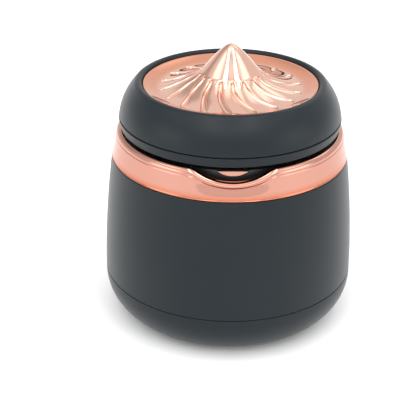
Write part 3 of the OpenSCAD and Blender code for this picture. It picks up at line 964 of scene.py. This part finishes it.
# %% Brushed steel
steel = Finish("cup_steel", Metallic=1.0)
east, north, height = steel.apart(steel.place)
from_axis = (east * east + north * north) ** 0.5
turned_place = steel.node("ShaderNodeCombineXYZ", {}, from_axis, height, 0.0)
scratches = steel.noise(9000, 3, at=turned_place)
steel.set("Base Color", steel.blend(steel.noise(50, 2), (0.60, 0.60, 0.60, 1), (0.68, 0.68, 0.67, 1)))
steel.set("Roughness", 0.2 + 0.2 * scratches)
steel.bump(scratches, 0.35, 0.01)
paint(steel, liner_cup, lid_plate)

# %% Wire and screws
bright = Finish("spring_steel", Metallic=1.0, Base_Color=(0.62, 0.62, 0.63, 1))
drawn = bright.noise(2500, 2)
bright.set("Roughness", 0.16 + 0.14 * drawn)
bright.bump(drawn, 0.15, 0.01)
paint(bright, latch_spring, hinge_spring, nodes["hinge_pin"])

zinc = Finish("screw_steel", Metallic=1.0)
patches = zinc.noise(700, 3)
zinc.set("Base Color", zinc.blend(patches, (0.45, 0.46, 0.47, 1), (0.56, 0.56, 0.54, 1)))
zinc.set("Roughness", 0.25 + 0.2 * patches)
zinc.bump(patches, 0.2, 0.01)
screw_nodes = ("base_screws", "collar_screws", "hinge_block_screws", "arm_screws", "lid_screws")
paint(zinc, *[nodes[name] for name in screw_nodes])

# %% Silicone
pad_finish = Finish("pad_silicone")
bloom = pad_finish.noise(2200, 3)
pad_finish.set("Base Color", pad_finish.blend(bloom, (0.014, 0.016, 0.018, 1), (0.022, 0.025, 0.028, 1)))
pad_finish.set("Roughness", 0.62 + 0.2 * bloom)
pad_finish.bump(bloom, 0.3, 0.02)
paint(pad_finish, foot_pad)

seal_finish = Finish("gasket_silicone")
seal_bloom = seal_finish.noise(2200, 3)
seal_finish.set("Base Color", seal_finish.blend(seal_bloom, (0.10, 0.11, 0.12, 1), (0.13, 0.14, 0.15, 1)))
seal_finish.set("Roughness", 0.5 + 0.2 * seal_bloom)
seal_finish.bump(seal_bloom, 0.2, 0.02)
paint(seal_finish, lid_seal)

# %% [markdown]
# ## The studio
#
# Mirror metal shows the room more than itself, so the room is the real subject here: a wide pale floor,
# and a bright surround with soft patches in it. The surround makes the flanks of the dark barrel glow at
# grazing angles, and the brighter patches draw the long highlights on the ring and the peak.

# %% Floor and surround
floor_mesh = bpy.data.meshes.new("floor")
reach = 3.0
floor_mesh.from_pydata([(-reach, -reach, 0), (reach, -reach, 0), (reach, reach, 0), (-reach, reach, 0)], [],
                       [(0, 1, 2, 3)])
floor = bpy.data.objects.new("floor", floor_mesh)
bpy.context.scene.collection.objects.link(floor)
floor_finish = Finish("floor_white", Base_Color=(0.92, 0.92, 0.92, 1))
floor_finish.set("Roughness", 0.6 + 0.1 * floor_finish.noise(40, 2))
paint(floor_finish, floor)

# %% [markdown]
# Area lamps would show in the mirror metal as hard-edged squares. So there is no lamp, and the sky itself
# carries the light. It is nearly even, and almost twice as bright right overhead. Soft-edged patches are
# worked out from the direction of the sky: two bright strips above the front with dim borders, a faint fill
# low at the front and a strong one high above it, boxes at both sides, and a bright and a dim one high at
# the back. Their places were judged from what the ring and the dish mirror.

# %% A sky with soft-edged patches of light
world = bpy.data.worlds.new("surround")
bpy.context.scene.world = world
world.use_nodes = True
sky = Nodes(world.node_tree, "Generated")
sky_x, sky_y, sky_z = sky.apart(sky.place)
front_angle = sky.node("ShaderNodeMath", {"operation": "ARCTAN2"}, sky_x, 0 - sky_y)
sideways = sky.node("ShaderNodeMath", {"operation": "ABSOLUTE"}, front_angle)
horizon_light, zenith_light = 1.0, 1.06


def between(value, start, end, edge):
    """1 between start and end, 0 outside, with a soft edge."""
    return sky.ramp(value, start - edge, start + edge) * (1 - sky.ramp(value, end - edge, end + edge))


def sector(angle, from_deg, to_deg, low, high, edge_deg=8.0, edge=0.06):
    """A soft-edged box in the sky, between two azimuths and two heights."""
    return between(angle, math.radians(from_deg), math.radians(to_deg), math.radians(edge_deg)) * between(
        sky_z, low, high, edge)


off_centre = sky.node("ShaderNodeMath", {"operation": "ABSOLUTE"}, sky_x)
above = sky.ramp(sky_z, 0.3, 0.45)
strips = between(off_centre, 0.18, 0.37, 0.025) * between(sky_y, -0.68, 0.02, 0.04) * above
borders = between(off_centre, 0.12, 0.44, 0.02) * (1 - between(off_centre, 0.17, 0.38, 0.02)) * between(
    sky_y, -0.7, 0.05, 0.04) * above
glow = horizon_light + (zenith_light - horizon_light) * sky.ramp(sky_z, 0.3, 1.0)
front_fill = (1 - sky.ramp(sideways, 0.7, 1.4)) * (1 - sky.ramp(sky_z, 0.15, 0.5))
high_fill = (1 - sky.ramp(sideways, 0.5, 1.3)) * between(sky_z, 0.5, 0.84, 0.12)
overhead = sky.ramp(sky_z, 0.93, 0.99)
side_boxes = 1.8 * sector(sideways, 50, 82, 0.02, 0.4) + 1.3 * sector(sideways, 64, 94, 0.62, 0.86)
bright_back = sector(front_angle, 120, 156, 0.55, 0.85)
dim_back = sector(front_angle, -162, -114, 0.3, 0.85)
strip_light, border_shade, low_light, high_light, overhead_light = 3.6, 0.45, 0.25, 1.3, 0.9
bright_back_light, dim_back_shade = 0.9, 0.4
sky_light = (glow + high_light * high_fill + overhead_light * overhead + strip_light * strips
             - border_shade * borders + low_light * front_fill + side_boxes
             + bright_back_light * bright_back - dim_back_shade * dim_back)
background = world.node_tree.nodes["Background"]
background.inputs["Color"].default_value = (1, 1, 1, 1)
sky.feed(background.inputs["Strength"], sky_light)
print(f"sky: {len(world.node_tree.nodes)} nodes and no lamp")

# %% [markdown]
# ## The camera
#
# A short telephoto lens close to the pot, looking down by 27 degrees. It aims a little to the left of the
# pot's axis, and stands a touch to the left of straight ahead.

# %% Camera
lens_mm = 104.4
aim = Vector((-0.00616, 0.0002, 0.03094))
distance = 0.3631
azimuth, elevation, roll = math.radians(-0.93), math.radians(27.02), math.radians(0.5)
back = Vector((math.sin(azimuth) * math.cos(elevation), -math.cos(azimuth) * math.cos(elevation),
               math.sin(elevation)))
camera_data = bpy.data.cameras.new("camera")
camera_data.lens, camera_data.sensor_width = lens_mm, 36.0
camera_data.clip_start, camera_data.clip_end = 0.02, 20.0
camera = bpy.data.objects.new("camera", camera_data)
camera.location = aim + back * distance
camera.rotation_mode = "QUATERNION"
camera.rotation_quaternion = (-back).to_track_quat("-Z", "Y") @ Euler((0, 0, roll)).to_quaternion()
bpy.context.scene.collection.objects.link(camera)
bpy.context.scene.camera = camera
bpy.context.scene.view_settings.view_transform = "Standard"
print(f"camera {distance:.3f} m from its aim, {lens_mm} mm lens")
